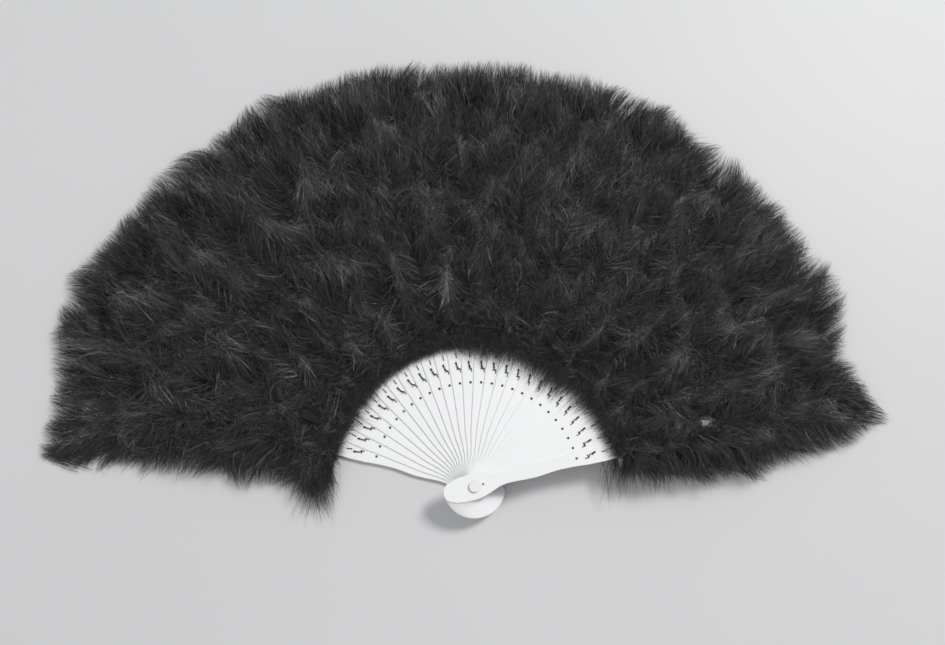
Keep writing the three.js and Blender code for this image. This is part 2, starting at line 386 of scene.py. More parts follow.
# Camera of the photograph, in its pixels and millimetres, and how far it sees in metres
PHOTO_SIZE = (945, 645)
FOCAL_PIXELS = 920.0
NADIR_PIXEL = (468.0, 478.0)
CAMERA_PLACE = (-6.38, 7.76, 907.58)
FAN_TURN_DEG = 0.745
CAMERA_SIGHT = 50.0

# Floor and backdrop in metres: the floor fades into the backdrop between two distances
FLOOR_HALF = 30.0
FLOOR_DEPTH = 0.0003
FLOOR_FADE = (1.2, 5.0)
BACKDROP = (0.80, 0.81, 0.82, 1.0)

# Light of the world, then name, place, side length and power of each lamp, all aimed at the middle
# of the plumage
WORLD_COLOUR = (0.97, 0.985, 1.0, 1.0)
WORLD_LIGHT = 0.42
LAMPS = (
    ("key", (1.90, 1.90, 2.90), 0.9, 104.0),
    ("fill", (-2.20, -0.60, 2.60), 2.2, 18.0),
)
LAMP_AIM = Vector((0.0, 0.18, 0.0))


def leaf_names(index):
    """Stem of a leaf's names, then its body, blade, plume and own joint, from the left guard on."""
    stem = {0: "left", LEAF_COUNT - 1: "right"}.get(index, f"{index:02d}")
    if index in (0, LEAF_COUNT - 1):
        return stem, f"{stem}_leaf", f"guard_{stem}", f"plume_{stem}", FOLD_JOINT
    return stem, f"leaf_{stem}", f"stave_{stem}", f"plume_{stem}", f"leaf_{stem}_turn"


def unit(vectors):
    length = np.linalg.norm(vectors, axis=-1, keepdims=True)
    return vectors / np.maximum(length, 1e-9)


def lerp(a, b, share):
    return a + (b - a) * share


def between(place, count):
    """The step before each place along a row of so many, and the share of the way to the next."""
    before = np.minimum(place.astype(int), count - 2)
    return before, place - before


def new_object(name, data):
    item = bpy.data.objects.new(name, data)
    bpy.context.scene.collection.objects.link(item)
    return item


class Ripple:
    """A smooth random height over the fan, about zero on average, and its slope."""

    def __init__(self, seed, size, stretch=1.0):
        rng = np.random.default_rng(seed)
        turn = rng.uniform(0, FULL_TURN, RIPPLE_WAVES)
        pace = FULL_TURN / (size * rng.uniform(*RIPPLE_SIZES, RIPPLE_WAVES))
        self.outward = np.cos(turn) * pace / stretch
        self.around = np.sin(turn) * pace
        self.start = rng.uniform(0, FULL_TURN, RIPPLE_WAVES)
        self.strength = math.sqrt(2 / RIPPLE_WAVES)
        self.size = size

    def phase(self, points):
        distance = np.hypot(points[..., 0], points[..., 1])
        arc = np.arctan2(points[..., 0], points[..., 1]) * ARC_RADIUS
        return distance[..., None] * self.outward + arc[..., None] * self.around + self.start

    def height(self, points):
        return np.sin(self.phase(points)).sum(-1) * self.strength

    def slope(self, points):
        """Slope outward and around the pivot, about one where it is steep."""
        waves = np.cos(self.phase(points)) * self.strength * self.size / FULL_TURN
        return (waves * self.outward).sum(-1), (waves * self.around).sum(-1)


CLUMPS = Ripple(SEED, CLUMP_SIZE, CLUMP_STRETCH)
TUFTS = Ripple(SEED + 1, FRINGE_TUFT_SIZE)
RIM_WAVES = Ripple(SEED + 2, FRINGE_WAVE_SIZE)


class Leaf:
    """One leaf's place in the stack. Its own coordinates have Y along the blade, in millimetres."""

    def __init__(self, index):
        self.index = index
        self.stem, self.body, self.blade, self.plume, self.joint = leaf_names(index)
        self.angle = (index - (LEAF_COUNT - 1) / 2) * PITCH
        low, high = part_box(self.blade)
        self.blade_low = low.z / MM
        self.blade_high = high.z / MM
        self.full_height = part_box(self.plume)[1].z / MM
        self.rng = np.random.default_rng(SEED + index)
        self.outer_side = {0: -1, LEAF_COUNT - 1: 1}.get(index, 0)
        self.has_parting = index >= LEAF_COUNT - PARTING_LEAVES
        self.reach = float(self.rim(0.0, 1.0))

    def turn(self, x, y):
        """Direction of a point from the pivot, in degrees clockwise from the middle of the fan."""
        return np.degrees(np.arctan2(x, y) + self.angle)

    def rim(self, x, y):
        """Distance of the plumage's rim from the pivot, in the direction of a point."""
        return np.interp(self.turn(x, y), RIM_DEG, RIM_REACH)

    def half_width(self, side, along):
        """Reach of the plumage to one side of the blade."""
        inner = along * SIDE_SLOPE
        if not self.outer_side:
            return inner
        edge = np.interp(along, EDGE_ALONG, LEFT_EDGE if self.index == 0 else RIGHT_EDGE)
        return np.where(np.sign(side) == self.outer_side, edge, inner)

    def crown(self, x, y):
        """Height of the plumage's upper side above the floor."""
        share = (y - PLUME_START) / (self.reach - PLUME_START)
        start = self.blade_high + INNER_COVER
        low_line = np.where(share < HEIGHT_SHARES[2], start, RIM_HEIGHT)
        height = low_line + (self.full_height - low_line) * np.interp(share, HEIGHT_SHARES, FULLNESS)
        if not self.outer_side:
            return height
        outward = np.clip(self.outer_side * x / self.half_width(self.outer_side, y), 0, 1)
        return height * (1 - EDGE_DROOP * outward ** 2)

    def height_at(self, level, x, y, least_top=FLOOR_GAP):
        """Height of a level, which goes from 0 near the floor to 1 just under the crown."""
        return lerp(FLOOR_GAP, np.maximum(self.crown(x, y) - CROWN_COVER, least_top), level)

    def to_fan(self, points):
        """Turns points from the leaf's own coordinates to the fan's."""
        cos, sin = math.cos(self.angle), math.sin(self.angle)
        x, y, z = points[..., 0], points[..., 1], points[..., 2]
        return np.stack([x * cos + y * sin, y * cos - x * sin, z], -1)


def ring_quads(rings, sides):
    """Faces (steps x sides x 4) between rings of points that follow each other along a tube."""
    first = np.arange((rings - 1) * sides).reshape(-1, sides)
    after = np.roll(first, -1, axis=1)
    return np.stack([first, after, after + sides, first + sides], -1)


class Shell:
    """Gathers closed tubes and skins, and makes one mesh of them."""

    def __init__(self):
        self.parts = []
        self.count = 0

    def add(self, points, quads, tris, uvs, slot=0):
        slots = [np.full(len(faces), slot) for faces in (quads, tris)]
        self.parts.append((points, quads + self.count, tris + self.count, uvs, *slots))
        self.count += len(points)

    def add_strands(self, paths, radii, tones, sides=3):
        """Tubes along paths (strands x steps x 3), each closed at its root and pointed at its tip."""
        strands, steps = paths.shape[:2]
        rings = steps - 1
        each = rings * sides + 1
        along = unit(np.gradient(paths, axis=1))
        span = unit(paths[:, -1] - paths[:, 0])
        lean = unit(np.cross(span, unit(np.array(STRAND_FACING))))
        across = unit(np.cross(along, lean[:, None, :]))
        other = np.cross(along, across)
        turn = np.arange(sides) * FULL_TURN / sides
        ring = (across[:, :rings, None, :] * np.cos(turn)[:, None]
                + other[:, :rings, None, :] * np.sin(turn)[:, None])
        body = paths[:, :rings, None, :] + ring * radii[:, :rings, None, None]
        points = np.concatenate([body.reshape(strands, -1, 3), paths[:, -1:, :]], 1)
        level = np.append(np.repeat(np.arange(rings) / rings, sides), 1.0)
        width = np.append(np.tile(np.arange(sides) / (sides - 1), rings), 0.5)
        tones = np.clip(tones, *TONE_RANGE)
        u = UV_EDGE + tones[:, None] * TONE_WIDTH + width * STRAND_WIDTH
        v = np.broadcast_to(UV_EDGE + level * (1 - 2 * UV_EDGE), u.shape)
        last = (rings - 1) * sides
        tris = [(last + side, last + (side + 1) % sides, each - 1) for side in range(sides)]
        tris += [(0, side + 1, side) for side in range(1, sides - 1)]
        shift = (np.arange(strands) * each)[:, None, None]
        self.add(
            points.reshape(-1, 3),
            (ring_quads(rings, sides).reshape(-1, 4) + shift).reshape(-1, 4),
            (np.array(tris) + shift).reshape(-1, 3),
            np.stack([u, v], -1).reshape(-1, 2),
        )

    def add_skin(self, loops, slot=0):
        """A closed skin over loops (sections x points x 3), capped at both ends."""
        sections, ring = loops.shape[:2]
        ends = np.stack([loops[0].mean(0), loops[-1].mean(0)])
        points = np.concatenate([loops.reshape(-1, 3), ends])
        start, end = sections * ring, sections * ring + 1
        last = (sections - 1) * ring
        quads = ring_quads(sections, ring).swapaxes(0, 1).reshape(-1, 4)
        tris = []
        for place in range(ring):
            after = (place + 1) % ring
            tris += [(start, after, place), (end, last + place, last + after)]
        level = np.repeat(np.linspace(UV_EDGE, 1 - UV_EDGE, sections), ring)
        level = np.append(level, (UV_EDGE, 1 - UV_EDGE))
        width = np.tile(np.abs(np.linspace(-1, 1, ring)), sections)
        width = np.append(width, (0.5, 0.5))
        uvs = np.stack([UV_EDGE + width * SKIN_TONE_RANGE * TONE_WIDTH, level], -1)
        self.add(points, quads, np.array(tris), uvs, slot)

    def to_object(self, name, leaf, materials):
        points, quads, tris, uvs, *slots = (np.concatenate(part) for part in zip(*self.parts))
        points = np.clip(leaf.to_fan(points), LIMIT_LOW, LIMIT_HIGH) * MM
        corners = np.concatenate([quads.ravel(), tris.ravel()]).astype(np.int32)
        sizes = np.repeat((4, 3), (len(quads), len(tris)))
        starts = (np.cumsum(sizes) - sizes).astype(np.int32)
        mesh = bpy.data.meshes.new(name)
        mesh.vertices.add(len(points))
        mesh.vertices.foreach_set("co", points.astype(np.float32).ravel())
        mesh.loops.add(len(corners))
        mesh.loops.foreach_set("vertex_index", corners)
        mesh.polygons.add(len(starts))
        mesh.polygons.foreach_set("loop_start", starts)
        mesh.polygons.foreach_set("material_index", np.concatenate(slots).astype(np.int32))
        layer = mesh.uv_layers.new(name=UV_MAP)
        layer.uv.foreach_set("vector", uvs[corners].astype(np.float32).ravel())
        mesh.shade_smooth()
        mesh.update()
        for material in materials:
            mesh.materials.append(material)
        return new_object(name, mesh)


def quill_ends(leaf):
    """Rows of root (side, along), tip (side, along), level and bare share, one for each quill."""
    rng = leaf.rng
    rows = []
    for count, bounds, reaches, levels, bare in TIERS:
        for place in range(count):
            share = ((place + rng.uniform(*TIER_PLACE)) / count * 2 - 1) * SIDE_SPREAD
            bound = rng.uniform(*bounds)
            tip = leaf.reach * rng.uniform(*reaches) - TIP_INSET
            stray = rng.normal(0, STRAY) * (tip < leaf.reach * STRAY_REACH_SHARE)
            aside = share * (tip * SIDE_SLOPE) + stray
            level = rng.uniform(*levels)
            rows.append((share * BOUND_HALF_WIDTH, bound, aside, tip, level, bare))
    if leaf.outer_side:
        side = leaf.outer_side
        for along in np.arange(EDGE_START, leaf.reach - TIP_INSET / 2, EDGE_STEP):
            for row in EDGE_ROWS:
                tip = along + rng.uniform(-0.5, 0.5) * EDGE_STEP
                aside = side * (leaf.half_width(side, tip) - EDGE_TIP_INSET) * row
                bound = np.clip(tip - rng.uniform(*EDGE_QUILL), *EDGE_BOUND)
                root = side * rng.uniform(*EDGE_ROOT)
                rows.append((root, bound, aside, tip, rng.uniform(*EDGE_LEVEL), EDGE_BARE))
    return np.array(rows)


def quill_paths(leaf):
    """Paths of the quills, bending up from the blade and outward to their tips."""
    rng = leaf.rng
    root_x, root_y, tip_x, tip_y, level, bare = quill_ends(leaf).T[:, :, None]
    share = np.linspace(0, 1, QUILL_STEPS)
    y = lerp(root_y, tip_y, share)
    x = lerp(root_x, tip_x, share ** QUILL_SPREAD_POWER)
    wave = rng.uniform(-1, 1, level.shape) * QUILL_WAVE
    x = x + wave * np.sin(math.pi * share * rng.uniform(*QUILL_BENDS, level.shape))
    over = leaf.blade_high + QUILL_BLADE_GAP
    under = leaf.blade_low - QUILL_BLADE_GAP
    start = np.where(level > UNDERSIDE_LEVEL, over, under)
    rise = np.clip(share / QUILL_RISE, 0, 1)
    rise = rise * rise * (3 - 2 * rise)
    z = lerp(start, leaf.height_at(level, x, y), rise)
    return np.stack([x, y, z], -1), level, bare


def barb_paths(leaf, quills, level, bare, style):
    """Barbs in locks on both sides of the quills, kept inside the plumage's outline."""
    rng = leaf.rng
    high = level[:, 0] >= style["above"]
    quills = quills[high]
    level = level[high][:, None]
    bare = bare[high][:, None]
    feathers = len(quills)
    along = unit(np.gradient(quills, axis=1))
    across = unit(np.cross(along, UP))
    upward = np.cross(across, along)

    locks = style["locks"]
    loose = style["loose"]
    lock_shape = (feathers, 2, locks)
    share = (np.arange(locks) + rng.uniform(0, 1, lock_shape)) / locks
    share = lerp(bare, 1.0, share)
    angle = np.interp(share, LOCK_SHARES, LOCK_ANGLES) * style["splay"]
    angle = angle + rng.normal(0, LOCK_ANGLE_SPREAD * loose, lock_shape)
    roll = rng.normal(style["lift"], style["roll"], lock_shape)
    roll = np.where(level < UNDERSIDE_LEVEL, roll - UNDERSIDE_ROLL, roll)
    length = np.interp(share, LOCK_SHARES, LOCK_LENGTHS) * style["length"]
    length = length * rng.uniform(*LOCK_LENGTH_RANGE, lock_shape)
    curl = rng.normal(*style["curl"], lock_shape)
    tone = rng.normal(*style["tone"], lock_shape) + rng.normal(0, FEATHER_TONE, (feathers, 1, 1))
    feather, side = np.indices(lock_shape)[:2]

    def per_barb(values, spread=0.0):
        repeated = np.repeat(values.ravel(), style["each"])
        return repeated + rng.normal(0, 1, len(repeated)) * spread

    share = np.clip(per_barb(share, BARB_PLACE_SPREAD), 0, 1)
    angle = np.radians(per_barb(angle, BARB_ANGLE_SPREAD * loose))
    roll = np.radians(per_barb(roll, BARB_ROLL_SPREAD * loose))
    curl = np.radians(per_barb(curl, BARB_CURL_SPREAD * loose))
    length = per_barb(length) * rng.uniform(*BARB_LENGTH_RANGE, len(share))
    tone = per_barb(tone, style["own_tone"])
    side = per_barb(side * 2 - 1)
    feather = per_barb(feather).astype(int)
    before, part = between(share * (QUILL_STEPS - 1), QUILL_STEPS)

    def on_quill(values):
        return lerp(values[feather, before], values[feather, before + 1], part[:, None])

    root = on_quill(quills)
    forward, sideways, up = on_quill(along), on_quill(across), on_quill(upward)

    def heading(angle, roll):
        out = side[:, None] * np.cos(roll)[:, None] * sideways + np.sin(roll)[:, None] * up
        return np.cos(angle)[:, None] * forward + np.sin(angle)[:, None] * out

    first = heading(angle, roll)
    last = heading(angle + curl, roll + rng.normal(0, BARB_TIP_ROLL, len(share)))
    last = unit(last - UP * BARB_FALL)
    length = keep_inside(leaf, root, first + last, length)
    paths = bent_strands(root, first, last, length)
    wobble = rng.normal(0, BARB_WOBBLE, paths.shape)
    paths = paths + wobble * np.linspace(0, 1, BARB_STEPS)[:, None]
    radii = strand_radii(rng, len(share), style["radius"])
    paths, tone = gather(leaf, paths, tone)
    return settle(leaf, paths), radii, tone


def keep_inside(leaf, root, direction, length):
    """Shortens the barbs that would pass the rim or cover the bare part of the blades."""
    tip = root + direction * (length / 2)[:, None]
    distance = np.linalg.norm(tip[:, :2], axis=1)
    root_distance = np.linalg.norm(root[:, :2], axis=1)
    rim = leaf.rim(tip[:, 0], tip[:, 1]) - leaf.rng.uniform(*RIM_INSET, len(root))
    over = (rim - root_distance) / np.maximum(distance - root_distance, LEAST_REACH)
    length = np.where(distance > rim, length * np.clip(over, RIM_SHORTEST_SHARE, 1), length)
    bare = np.interp(leaf.turn(tip[:, 0], tip[:, 1]), INNER_DEG, INNER_REACH)
    bare = bare + leaf.rng.uniform(*INNER_INSET, len(root))
    inward = (root_distance - bare) / np.maximum(root_distance - distance, LEAST_REACH)
    return np.where(distance < bare, length * np.clip(inward, INNER_SHORTEST_SHARE, 1), length)


def bent_strands(root, first, last, length):
    """Strands that leave their root along one direction and bend to another."""
    t = np.linspace(0, 1, BARB_STEPS)[:, None]
    bend = (t - t * t / 2) * first[:, None] + t * t / 2 * last[:, None]
    return root[:, None] + length[:, None, None] * bend


def falling_strands(root, start, ways, fall, length, first_fall=0.5):
    """Bent strands from flat roots and directions, which fall from a start more and more steeply."""
    return bent_strands(
        np.column_stack([root, start]),
        np.column_stack([ways[0], fall * first_fall]),
        np.column_stack([ways[1], fall * (2 - first_fall)]),
        length,
    )


def bent_ways(ways, lean, bend):
    """First and last directions of strands that lean to a side and bend."""
    return turned(ways, lean - bend), turned(ways, lean + bend)


def turned(ways, angle):
    """Directions turned in the plane."""
    cos, sin = np.cos(angle), np.sin(angle)
    return np.stack([ways[:, 0] * cos - ways[:, 1] * sin, ways[:, 0] * sin + ways[:, 1] * cos], -1)


def strand_radii(rng, count, radius):
    return np.array(BARB_TAPER) * radius * rng.uniform(*RADIUS_RANGE, (count, 1))


def gather(leaf, paths, tone):
    """Draws strands together into clumps, which stand higher than the gaps, with painted light on the
    clumps and painted shade in the gaps.
    """
    tips = paths[:, -1]
    place = leaf.to_fan(tips)
    outward, around = CLUMPS.slope(place)
    height = CLUMPS.height(place)
    radial = unit(tips[:, :2])
    beside = np.stack([radial[:, 1], -radial[:, 0]], -1)
    pull = (radial * outward[:, None] + beside * around[:, None]) * CLUMP_PULL
    shift = np.concatenate([pull, height[:, None] * CLUMP_RISE], -1)
    share = np.linspace(CLUMP_ROOT_SHARE, 1.0, paths.shape[1])
    return paths + shift[:, None, :] * share[:, None], tone + height * CLUMP_PAINTED_LIGHT


def settle(leaf, paths):
    """Rests the strands on the floor and presses down those that stand too proud."""
    x, y, z = paths[..., 0], paths[..., 1], paths[..., 2]
    ceiling = leaf.crown(x, y) + PROUD_TOP
    z = np.where(z > ceiling, ceiling + (z - ceiling) * PROUD_SHARE, z)
    sunk = np.minimum(z - LOWEST - REST_DEPTH, 0) / REST_DEPTH
    z = np.where(sunk < 0, LOWEST + REST_DEPTH * np.exp(sunk), z)
    return np.stack([x, y, z], -1)


def dressed(leaf, paths, radius, tone, lighter=0.0, keep=slice(None)):
    """Settled paths with their radii and tones, as far as they are kept."""
    radii = strand_radii(leaf.rng, len(paths), radius)
    tones = leaf.rng.normal(*tone, len(paths)) + lighter
    return settle(leaf, paths[keep]), radii[keep], tones[keep]


def ruff_paths(leaf):
    """Short fluff round the blade where the plumage begins, which hangs over its bare part."""
    rng = leaf.rng
    count = RUFF_HAIRS
    side = rng.choice([-1.0, 1.0], count)
    reach = leaf.half_width(side, RUFF_WIDTH_PLACE) * RUFF_WIDTH_SHARE
    x = side * np.maximum(reach, RUFF_BLADE_SIDE) * rng.uniform(0, 1, count)
    y = RUFF_START + rng.uniform(0, 1, count) ** RUFF_CROWDING * RUFF_DEPTH
    over = leaf.blade_high + RUFF_ROOT_GAP
    under = leaf.blade_low - RUFF_UNDER_BLADE
    low = np.where(np.abs(x) < RUFF_BLADE_SIDE, over, under)
    low = np.maximum(low, RUFF_FLOOR_GAP)
    z = lerp(low, leaf.crown(x, y) - HAIR_COVER, rng.uniform(0, 1, count))
    root = np.stack([x, y, z], -1)
    first = np.stack([
        rng.normal(0, RUFF_SIDEWAYS, count),
        rng.uniform(*RUFF_OUTWARD, count),
        rng.uniform(*RUFF_UPWARD, count),
    ], -1)
    last = unit(first + rng.normal(0, RUFF_BEND, first.shape) + np.array(RUFF_DROOP))
    first = unit(first)
    length = keep_inside(leaf, root, first + last, rng.uniform(*RUFF_LENGTH, count))
    paths = bent_strands(root, first, last, length)
    beside = np.abs(paths[..., 0]) >= RUFF_BARE_SIDE
    lowest = np.where(beside, -np.inf, leaf.blade_high + RUFF_BLADE_GAP)
    paths[..., 2] = np.maximum(paths[..., 2], lowest)
    return dressed(leaf, paths, RUFF_RADIUS, RUFF_TONE)


def inner_paths(leaf):
    """Hairs that reach from the fluff's inner end toward the handle, over the bare blades."""
    rng = leaf.rng
    count = INNER_HAIRS
    sides = np.array([-PITCH / 2, PITCH / 2])
    if leaf.outer_side:
        sides[max(leaf.outer_side, 0)] = leaf.outer_side * INNER_GUARD_HALF_WIDTH / INNER_ROOTS[0]
    turn = rng.uniform(*sides, count)
    degrees = np.degrees(turn + leaf.angle)
    soft = np.interp(degrees, INNER_DEG, INNER_SOFT)
    reach = np.interp(degrees, INNER_DEG, INNER_REACH)
    reach = reach + soft * (rng.normal(0, 1, count) + INNER_MIDDLE)
    length = rng.uniform(*INNER_ROOTS, count) - reach
    outward = np.stack([np.sin(turn), np.cos(turn)], -1)
    lean = rng.normal(0, INNER_LEAN, count)
    ways = bent_ways(-outward, lean, rng.normal(0, INNER_BEND, count))
    root = outward * reach[:, None] - (ways[0] + ways[1]) * (length / 2)[:, None]
    crown = leaf.crown(root[:, 0], root[:, 1]) - HAIR_COVER
    start = lerp(leaf.blade_high + INNER_OVER_BLADE[0], crown, rng.uniform(0, 1, count))
    fall = (leaf.blade_high + rng.uniform(*INNER_OVER_BLADE, count) - start) / length
    paths = falling_strands(root, start, ways, fall, length)
    keep = length > INNER_SHORTEST
    return dressed(leaf, paths, INNER_RADIUS, INNER_TONE, soft * INNER_SOFT_TONE, keep)


def fringe_line(leaf):
    """Points along the plumage's end on a leaf, in its own coordinates, and the way outward there."""
    half = PITCH / 2
    turns = [-half, half]
    points = ways = np.empty((0, 2))
    if leaf.outer_side:
        along = np.arange(FRINGE_START, leaf.reach, FRINGE_STEP)
        points = np.stack([leaf.outer_side * leaf.half_width(leaf.outer_side, along), along], -1)
        inside = np.hypot(*points.T) < leaf.rim(*points.T)
        points, along = points[inside], along[inside]
        outward = np.interp(along, FRINGE_OUTWARD_ALONG, FRINGE_OUTWARD)[:, None]
        ways = unit(np.array([leaf.outer_side, 0.0]) * (1 - outward) + unit(points) * outward)
        corner = math.atan2(*points[-1])
        turns = [min(-half, corner), max(half, corner)]
    turn = np.arange(*turns, FRINGE_STEP / leaf.reach)
    radial = np.stack([np.sin(turn), np.cos(turn)], -1)
    points = np.concatenate([points, radial * leaf.rim(*radial.T)[:, None]])
    return points, np.concatenate([ways, radial])


def fringe_paths(leaf):
    """Hairs that lean and bend alike in tufts, and end at the plumage's outline."""
    rng = leaf.rng
    points, outward = fringe_line(leaf)
    count = int(len(points) / FRINGE_SPACING)
    pick = rng.integers(0, len(points), count)
    points, outward = points[pick], outward[pick]
    place = leaf.to_fan(np.column_stack([points, np.zeros(count)]))
    tuft = TUFTS.height(place)
    wave = RIM_WAVES.height(place)

    def sway(tuft_share, wave_share, chance):
        turn = tuft_share * tuft + wave_share * wave + rng.normal(0, chance, count)
        return np.radians(FRINGE_LEAN_DEG) * turn

    lean = sway(*FRINGE_LEAN_SHARES)
    ways = bent_ways(outward, lean, sway(*FRINGE_BEND_SHARES))
    past = FRINGE_WAVE * (wave + FRINGE_TUFT_SHARE * np.abs(tuft))
    past = past - rng.exponential(FRINGE_FRAY, count) + FRINGE_PAST
    tip = points + outward * past[:, None]
    length = rng.uniform(*FRINGE_LENGTH, count) + np.maximum(past, 0)
    root = tip - (ways[0] + ways[1]) * (length / 2)[:, None]
    x, y = root.T
    start = leaf.height_at(rng.uniform(*FRINGE_LEVEL, count), x, y, FRINGE_LEAST_TOP)
    fall = (rng.uniform(*FRINGE_END_SHARES, count) * start - start) / length
    paths = falling_strands(root, start, ways, fall, length)
    return dressed(leaf, paths, FRINGE_RADIUS, FRINGE_TONE, tuft * FRINGE_TUFT_TONE, y > PLUME_START)


def tuft_paths(leaf, tuft):
    """A loose tuft, which hangs past the plumage's outline."""
    rng = leaf.rng
    count = tuft["count"]
    root = rng.uniform(*np.array(tuft["roots"]), (count, 2))
    heading = np.radians(rng.uniform(*tuft["heading"], count))
    way = np.stack([np.sin(heading), np.cos(heading)], -1)
    ways = bent_ways(way, 0.0, rng.normal(0, TUFT_BEND, count))
    length = rng.uniform(*tuft["length"], count)
    start = leaf.blade_high + rng.uniform(*tuft["start"], count)
    fall = -tuft["hang"] * (start - TUFT_END_HEIGHT) / length
    paths = falling_strands(root, start, ways, fall, length, TUFT_FALL_SHARE)
    return dressed(leaf, paths, tuft["radius"], tuft["tone"])


def beside_parting(leaf, paths):
    """Which strands stay, because they leave the small parting bare."""
    if not leaf.has_parting:
        return slice(None)
    steps = paths.shape[1]
    before, part = between(np.linspace(0, steps - 1, PARTING_SAMPLES * steps), steps)
    samples = lerp(paths[:, before], paths[:, before + 1], part[:, None])
    keep = from_parting(leaf, samples).min(1) > leaf.rng.uniform(*PARTING_RADIUS, len(paths))
    return keep | (leaf.rng.uniform(0, 1, len(paths)) < PARTING_CROSSED)


def from_parting(leaf, points):
    """Distance from the parting, which is longer outward than across."""
    place = leaf.to_fan(points)[..., :2] - PARTING
    outward = unit(PARTING)
    across = np.array([outward[1], -outward[0]])
    return np.hypot(place @ outward, place @ across * PARTING_NARROWING)


def down_loops(leaf):
    """The dense fluff round the blade and under the barbs."""
    rng = leaf.rng
    along = np.linspace(DOWN_START, leaf.reach - DOWN_RIM_INSET, DOWN_SECTIONS)[:, None]
    turn = np.linspace(0, FULL_TURN, DOWN_RING, endpoint=False)
    cos, sin = np.cos(turn), np.sin(turn)
    share = np.linspace(0, 1, DOWN_SECTIONS)[:, None]
    widths = [leaf.half_width(side, along) * DOWN_WIDTH_SHARE for side in (-1, 1)]
    if leaf.outer_side:
        edge = leaf.half_width(leaf.outer_side, along) - DOWN_EDGE_INSET
        taper = np.interp(share, *DOWN_EDGE_TAPER)
        widths[max(leaf.outer_side, 0)] = np.maximum(edge, DOWN_EDGE_LEAST) * taper
    x = np.where(cos < 0, *widths) * np.sign(cos) * np.abs(cos) ** DOWN_SQUARENESS
    y = along + np.zeros_like(x)
    top = np.maximum(leaf.crown(x, y) - DOWN_INSET, DOWN_LEAST_TOP)
    under_blade = max(leaf.blade_low - DOWN_UNDER_BLADE, DOWN_FLOOR_GAP)
    bottom = np.interp(share, (0, DOWN_BLADE_SHARE), (under_blade, DOWN_FLOOR_GAP))
    half_height = (top - bottom) / 2 * np.interp(share, *DOWN_ENDS)
    z = (top + bottom) / 2 + half_height * np.sign(sin) * np.abs(sin) ** DOWN_SQUARENESS
    ragged = np.interp(share, (DOWN_RAGGED_FROM, 1), (0, 1))
    y = y + ragged * rng.normal(0, DOWN_RAGGED, x.shape)
    rough = rng.normal(0, DOWN_ROUGH, (3,) + x.shape)
    points = np.stack([x, y, z], -1) + np.moveaxis(rough, 0, -1) * DOWN_ROUGH_SHARES
    points[..., 2] = np.maximum(points[..., 2], DOWN_LOWEST)
    if leaf.has_parting:
        low = np.minimum(points[..., 2], bottom + PARTING_DIP_HEIGHT)
        points[..., 2] = np.where(from_parting(leaf, points) < PARTING_DIP, low, points[..., 2])
    return points


def make_fluff(leaf, materials):
    shell = Shell()
    quills, level, bare = quill_paths(leaf)
    quill_radii = np.linspace(*QUILL_RADIUS, QUILL_STEPS) * np.ones((len(quills), 1))
    shell.add_skin(down_loops(leaf), DOWN_SLOT)
    strands = [(quills, quill_radii, np.full(len(quills), QUILL_TONE))]
    for style in (EDGE_BARBS, EDGE_PAINTED_GLINT_HAIRS) if leaf.outer_side else (BARBS, PAINTED_GLINT_HAIRS):
        strands.append(barb_paths(leaf, quills, level, bare, style))
    strands += [make_paths(leaf) for make_paths in (ruff_paths, inner_paths, fringe_paths)]
    strands += [tuft_paths(leaf, tuft) for tuft in LOOSE_TUFTS if tuft["stem"] == leaf.stem]
    for paths, radii, tone in strands:
        keep = beside_parting(leaf, paths)
        shell.add_strands(paths[keep], radii[keep], tone[keep])
    piece = shell.to_object(f"fluff_{leaf.stem}", leaf, materials)
    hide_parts(leaf.plume)
    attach(piece, leaf.body)
    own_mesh(piece)


def thread_path(points):
    """A path through points, straight between them and rounded where it turns."""
    points = np.array(points, float)
    count = len(points)
    padded = np.concatenate([points[:1], points, points[-1:]])
    before, t = between(np.linspace(0, count - 1, THREAD_STEPS), count)
    t = t[:, None]
    a, b, c, d = (padded[before + shift] for shift in range(4))
    leave = (c - a) * THREAD_BEND
    arrive = (d - b) * THREAD_BEND
    return (b * (2 * t ** 3 - 3 * t ** 2 + 1) + leave * (t ** 3 - 2 * t ** 2 + t)
            + c * (3 * t ** 2 - 2 * t ** 3) + arrive * (t ** 3 - t ** 2))


